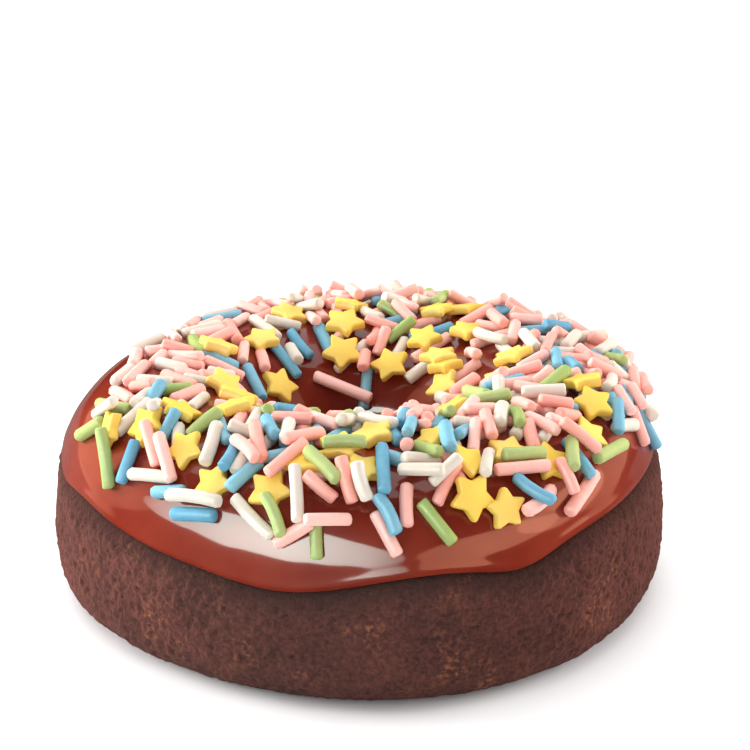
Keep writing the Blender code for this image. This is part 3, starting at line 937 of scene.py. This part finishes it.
def mix_colours(tree, share, first, second, blend="MIX"):
    """The colour socket of a mix of two colours. Each may be a value or a socket."""
    node = add_node(tree, "ShaderNodeMix", data_type="RGBA", blend_type=blend)
    for number, value in ((0, share), (6, first), (7, second)):
        if isinstance(value, bpy.types.NodeSocket):
            tree.links.new(value, node.inputs[number])
        else:
            node.inputs[number].default_value = value if number == 0 else (*value, 1.0)
    return node.outputs[2]


def calculate(tree, operation, *values, clamp=False):
    """The value socket of a sum between sockets or numbers."""
    node = add_node(tree, "ShaderNodeMath", operation=operation, use_clamp=clamp)
    for number, value in enumerate(values):
        if isinstance(value, bpy.types.NodeSocket):
            tree.links.new(value, node.inputs[number])
        else:
            node.inputs[number].default_value = value
    return node.outputs[0]


def new_material(name, roughness):
    """A material with its shader and a socket of Object coordinates."""
    material = bpy.data.materials.new(name)
    material.use_nodes = True
    tree = material.node_tree
    shader = tree.nodes["Principled BSDF"]
    shader.inputs["Roughness"].default_value = roughness
    coordinates = add_node(tree, "ShaderNodeTexCoord").outputs["Object"]
    return material, tree, shader, coordinates


def add_bump(tree, shader, height, distance, strength=1.0):
    """Tilts the shading by a height socket. Distance is how far a height of 1 would raise the surface."""
    bump = add_node(tree, "ShaderNodeBump", {"Height": height, "Distance": distance, "Strength": strength})
    tree.links.new(bump.outputs["Normal"], shader.inputs["Normal"])


# %% [markdown]
# ## A grain that every finish shares
#
# Cake, icing and sugar all have some fine unevenness, only at different sizes. One node group makes it, with
# the size of the grain in metres and a threshold range that turns the noise into a mask.

# %% Build the shared grain group
def grain_group():
    """Noise of a given size as a mask between two thresholds, and as a plain height."""
    group = bpy.data.node_groups.new("grain", "ShaderNodeTree")
    sockets = group.interface
    sockets.new_socket(name="Vector", in_out="INPUT", socket_type="NodeSocketVector")
    for name, value in (("Size", 0.001), ("Detail", 3.0), ("Low", 0.35), ("High", 0.65)):
        sockets.new_socket(name=name, in_out="INPUT", socket_type="NodeSocketFloat").default_value = value
    sockets.new_socket(name="Mask", in_out="OUTPUT", socket_type="NodeSocketFloat")
    sockets.new_socket(name="Height", in_out="OUTPUT", socket_type="NodeSocketFloat")
    given = group.nodes.new("NodeGroupInput").outputs
    scale = calculate(group, "DIVIDE", 1.0, given["Size"])
    texture = add_node(
        group, "ShaderNodeTexNoise", {"Vector": given["Vector"], "Scale": scale, "Detail": given["Detail"]}
    )
    mask = add_node(
        group, "ShaderNodeMapRange",
        {"Value": texture.outputs["Fac"], "From Min": given["Low"], "From Max": given["High"]},
    )
    put = group.nodes.new("NodeGroupOutput").inputs
    group.links.new(mask.outputs[0], put["Mask"])
    group.links.new(texture.outputs["Fac"], put["Height"])
    return group


GRAIN = grain_group()
print("the grain group has", len(GRAIN.nodes), "nodes")


def add_grain(tree, coordinates, size, detail=3.0, low=0.35, high=0.65):
    """The mask and the height of the shared grain at a size in metres."""
    node = add_node(tree, "ShaderNodeGroup", node_tree=GRAIN)
    tree.links.new(coordinates, node.inputs["Vector"])
    for name, value in (("Size", size), ("Detail", detail), ("Low", low), ("High", high)):
        node.inputs[name].default_value = value
    return node.outputs["Mask"], node.outputs["Height"]


# %% [markdown]
# ## Finishes
#
# The cake is matt and dark brown. Its colour wanders from patch to patch, its pores are painted darker, as
# the shade inside them, and its fine grain is darkest in the dips of its bump, partly its own tone and
# partly painted shade there. Here and there a patch of crumb is rubbed to a warmer, lighter brown. Just
# under the icing's rim it is painted darker, as the shade that the rim casts.

# %% Cake crumb
CAKE_DARK = (0.028, 0.006, 0.0045)
CAKE_BROWN = (0.125, 0.033, 0.025)
CAKE_WARM = (0.230, 0.075, 0.034)
# Painted shade inside the pores.
PORE_SHADE = (0.014, 0.004, 0.003)
# Painted shade under the icing's rim.
CAKE_UNDER_RIM_SHADE = (0.022, 0.005, 0.004)

cake_material, tree, shader, coordinates = new_material("cake_crumb", 0.85)
shader.inputs["Specular IOR Level"].default_value = 0.2
shader.inputs["Sheen Weight"].default_value = 0.08
shader.inputs["Sheen Roughness"].default_value = 0.5
shader.inputs["Sheen Tint"].default_value = (1.0, 0.55, 0.42, 1.0)
patches, _ = add_grain(tree, coordinates, 9 * MM, 3.0, 0.35, 0.65)
# The fine grain below sets both the crumb's tone and its bump, so the dips of the bump come out darkest:
# partly the crumb's own tone, partly painted shade in the dips.
crumb, crumb_height = add_grain(tree, coordinates, 0.55 * MM, 4.0, 0.30, 0.70)
base = mix_colours(tree, patches, CAKE_DARK, CAKE_BROWN)
crumb_tone_and_dip_shade = mix_colours(tree, crumb, CAKE_DARK, CAKE_BROWN)
base = mix_colours(tree, 0.7, base, crumb_tone_and_dip_shade)
rubbed, _ = add_grain(tree, coordinates, 7 * MM, 2.0, 0.54, 0.68)
specks, _ = add_grain(tree, coordinates, 0.7 * MM, 3.0, 0.50, 0.66)
base = mix_colours(tree, calculate(tree, "MULTIPLY", rubbed, specks), base, CAKE_WARM)
# Painted shade: a cell pattern darkens small spots of crumb, which stand for the shade inside its pores.
cells = add_node(tree, "ShaderNodeTexVoronoi", {"Vector": coordinates, "Scale": 1 / (0.75 * MM)})
pores = add_node(
    tree, "ShaderNodeMapRange",
    {"Value": cells.outputs["Distance"], "From Min": 0.0, "From Max": 0.32, "To Min": 1.0, "To Max": 0.0},
)
base = mix_colours(tree, calculate(tree, "MULTIPLY", pores.outputs[0], 0.6), base, PORE_SHADE)
# Painted shade: the crumb just under the icing's rim is darkened and stands for the shadow that the rim
# casts.
rim_shade_share = add_node(tree, "ShaderNodeAttribute", attribute_name="mark").outputs["Fac"]
base = mix_colours(tree, calculate(tree, "MULTIPLY", rim_shade_share, 0.6), base, CAKE_UNDER_RIM_SHADE)
tree.links.new(base, shader.inputs["Base Color"])
_, fine_height = add_grain(tree, coordinates, 0.22 * MM, 3.0)
height = calculate(tree, "ADD", crumb_height, calculate(tree, "MULTIPLY", fine_height, 0.5))
add_bump(tree, shader, height, 0.28 * MM, 1.0)
cake.data.materials.append(cake_material)
print("the crumb's finish has", len(tree.nodes), "nodes")

# %% [markdown]
# Set chocolate icing is smooth and shiny, with a slightly cloudy bloom. The gloss comes from a low roughness
# with a clear coat over it, and faint noise keeps reflections from being perfect.

# %% Chocolate icing
ICING_DEEP = (0.175, 0.015, 0.006)
ICING_MILKY = (0.218, 0.024, 0.010)

icing_material, tree, shader, coordinates = new_material("chocolate_icing", 0.3)
shader.inputs["Coat Weight"].default_value = 1.0
shader.inputs["Coat Roughness"].default_value = 0.065
shader.inputs["Coat IOR"].default_value = 1.5
shader.inputs["Specular IOR Level"].default_value = 0.08
cloud, _ = add_grain(tree, coordinates, 8 * MM, 3.0, 0.3, 0.7)
tree.links.new(mix_colours(tree, cloud, ICING_DEEP, ICING_MILKY), shader.inputs["Base Color"])
haze, haze_height = add_grain(tree, coordinates, 1.3 * MM, 3.0, 0.3, 0.7)
rough = add_node(tree, "ShaderNodeMapRange", {"Value": haze, "To Min": 0.28, "To Max": 0.38})
tree.links.new(rough.outputs[0], shader.inputs["Roughness"])
add_bump(tree, shader, haze_height, 0.012 * MM, 0.6)
icing.data.materials.append(icing_material)
print("the icing's finish has", len(tree.nodes), "nodes")

# %% [markdown]
# Pressed sugar is nearly matt and lets a little light in. Each colour has a paler and a deeper shade, and a
# strand's tint picks a shade between them. A fine grain roughens the surface.

# %% Coloured sugar
SUGAR_SHADES = {
    "pink": ((0.96, 0.57, 0.51), (0.93, 0.35, 0.28)),
    "white": ((0.71, 0.65, 0.57), (0.67, 0.59, 0.49)),
    "blue": ((0.23, 0.50, 0.60), (0.09, 0.33, 0.50)),
    "green": ((0.44, 0.52, 0.20), (0.29, 0.42, 0.10)),
    "yellow": ((0.88, 0.63, 0.14), (0.86, 0.57, 0.06)),
}


def sugar_material(colour):
    pale, deep = SUGAR_SHADES[colour]
    material, tree, shader, coordinates = new_material(f"sugar_{colour}", 0.48)
    shader.inputs["Subsurface Weight"].default_value = 0.12
    shader.inputs["Subsurface Radius"].default_value = (1.0, 0.7, 0.5)
    shader.inputs["Subsurface Scale"].default_value = 0.6 * MM
    tint = add_node(tree, "ShaderNodeAttribute", attribute_name="tint").outputs["Fac"]
    speckle, speckle_height = add_grain(tree, coordinates, 0.6 * MM, 3.0, 0.3, 0.7)
    own_share = calculate(tree, "MULTIPLY", tint, 0.84)
    share = calculate(tree, "MULTIPLY_ADD", speckle, 0.16, own_share, clamp=True)
    tree.links.new(mix_colours(tree, share, pale, deep), shader.inputs["Base Color"])
    rough = add_node(tree, "ShaderNodeMapRange", {"Value": speckle, "To Min": 0.40, "To Max": 0.56})
    tree.links.new(rough.outputs[0], shader.inputs["Roughness"])
    add_bump(tree, shader, speckle_height, 0.05 * MM, 0.5)
    return material


for colour, piece in sugar.items():
    piece.data.materials.append(sugar_material(colour))
print("sugar comes in", len(sugar), "colours")

# %% [markdown]
# ## The floor
#
# The doughnut stands on plain white. The floor glows very faintly, which keeps it from greying towards the
# back, and mirror rays don't see it, because its white would wash the dark icing out.

# %% Lay the floor
FLOOR_WHITE = (0.93, 0.93, 0.93)
FLOOR_PALE = (0.95, 0.95, 0.95)
FLOOR_GLOW = 0.03
FLOOR_HALF = 2.0

shape = bmesh.new()
bmesh.ops.create_grid(shape, x_segments=1, y_segments=1, size=FLOOR_HALF)
floor = finish_piece("floor", shape)
floor.visible_glossy = False
floor_material, tree, shader, coordinates = new_material("floor_white", 0.9)
shade, _ = add_grain(tree, coordinates, 0.3, 2.0, 0.2, 0.8)
tree.links.new(mix_colours(tree, shade, FLOOR_WHITE, FLOOR_PALE), shader.inputs["Base Color"])
shader.inputs["Specular IOR Level"].default_value = 0.0
shader.inputs["Emission Color"].default_value = (1.0, 1.0, 1.0, 1.0)
shader.inputs["Emission Strength"].default_value = FLOOR_GLOW
floor.data.materials.append(floor_material)

# %% [markdown]
# ## The light
#
# A large soft light above and behind gives the strands their bright tops, and two low ones at the sides, a
# little behind, brighten the flanks of the cake. The others are there for the icing's gloss, and light
# nothing that is matt. A long white strip in front draws the pale band on the shoulder, warm panels draw the
# softer brown sheen on the flanks, and one that lies on the floor behind draws the pale line along the edge
# of the rim. A narrow spread dims a strip towards its ends, so that its mirror image fades out. A pale world
# fills in, and mirror rays don't see it either.

# %% Hang the lights
AIM_HEIGHT = 20 * MM
WARM = (1.0, 0.48, 0.30)
SHEEN_ON_FLOOR = (0.0, 0.24, 0.6 * MM)
WORLD_WHITE = (1.0, 0.99, 0.98, 1.0)
WORLD_STRENGTH = 0.84


def add_panel(name, bearing, elevation, distance, size, power, colour=(1.0, 1.0, 1.0), spread=180):
    """A soft oval light aimed at the doughnut. Bearing 0 is behind the camera, and grows to the right."""
    light = bpy.data.lights.new(name, "AREA")
    light.shape = "ELLIPSE"
    light.size, light.size_y = size
    light.energy = power
    light.color = colour
    light.spread = math.radians(spread)
    lamp = bpy.data.objects.new(name, light)
    turn, lift = math.radians(bearing), math.radians(elevation)
    away = Vector((math.sin(turn) * math.cos(lift), -math.cos(turn) * math.cos(lift), math.sin(lift)))
    lamp.location = Vector((0.0, 0.0, AIM_HEIGHT)) + distance * away
    lamp.rotation_euler = away.to_track_quat("Z", "Y").to_euler()
    lamp.visible_camera = False
    bpy.context.scene.collection.objects.link(lamp)
    return lamp


add_panel("top", -155, 70, 1.1, (1.7, 1.7), 10.8)
add_panel("left", -108, 8, 0.7, (0.45, 0.30), 10.0).visible_glossy = False
add_panel("right", 112, 10, 0.8, (0.45, 0.35), 6.0).visible_glossy = False

sheens = [
    add_panel("front_strip", -38, 17, 0.45, (1.05, 0.18), 2.5, (0.84, 1.0, 0.92), 110),
    add_panel("warm_right", 48, 13, 0.5, (0.60, 0.13), 0.30, WARM, 110),
    add_panel("warm_corner", 84, 15, 0.5, (0.42, 0.16), 0.30, WARM, 130),
    add_panel("warm_side", 112, 22, 0.6, (0.75, 0.45), 1.3, WARM),
    add_panel("warm_left", -115, 18, 0.6, (0.80, 0.50), 1.35, WARM),
    add_panel("floor_sheen", 0, -90, 0.0, (0.9, 0.5), 0.3, (1.0, 0.85, 0.8)),
]
for lamp in sheens:
    lamp.visible_diffuse = False
sheens[-1].location = SHEEN_ON_FLOOR

world = bpy.data.worlds.new("studio")
world.use_nodes = True
background = world.node_tree.nodes["Background"]
background.inputs["Color"].default_value = WORLD_WHITE
background.inputs["Strength"].default_value = WORLD_STRENGTH
world.cycles_visibility.glossy = False
bpy.context.scene.world = world
bpy.context.scene.view_settings.view_transform = "Standard"
print(len(bpy.data.lights), "lights, of which", len(sheens), "are there for the gloss alone")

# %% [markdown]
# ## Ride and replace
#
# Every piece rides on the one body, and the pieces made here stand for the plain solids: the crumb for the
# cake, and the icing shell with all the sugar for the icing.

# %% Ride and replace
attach(cake, "root")
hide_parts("cake")
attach(icing, "root")
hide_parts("icing")
for piece in sugar.values():
    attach(piece, "root")
    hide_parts("icing")
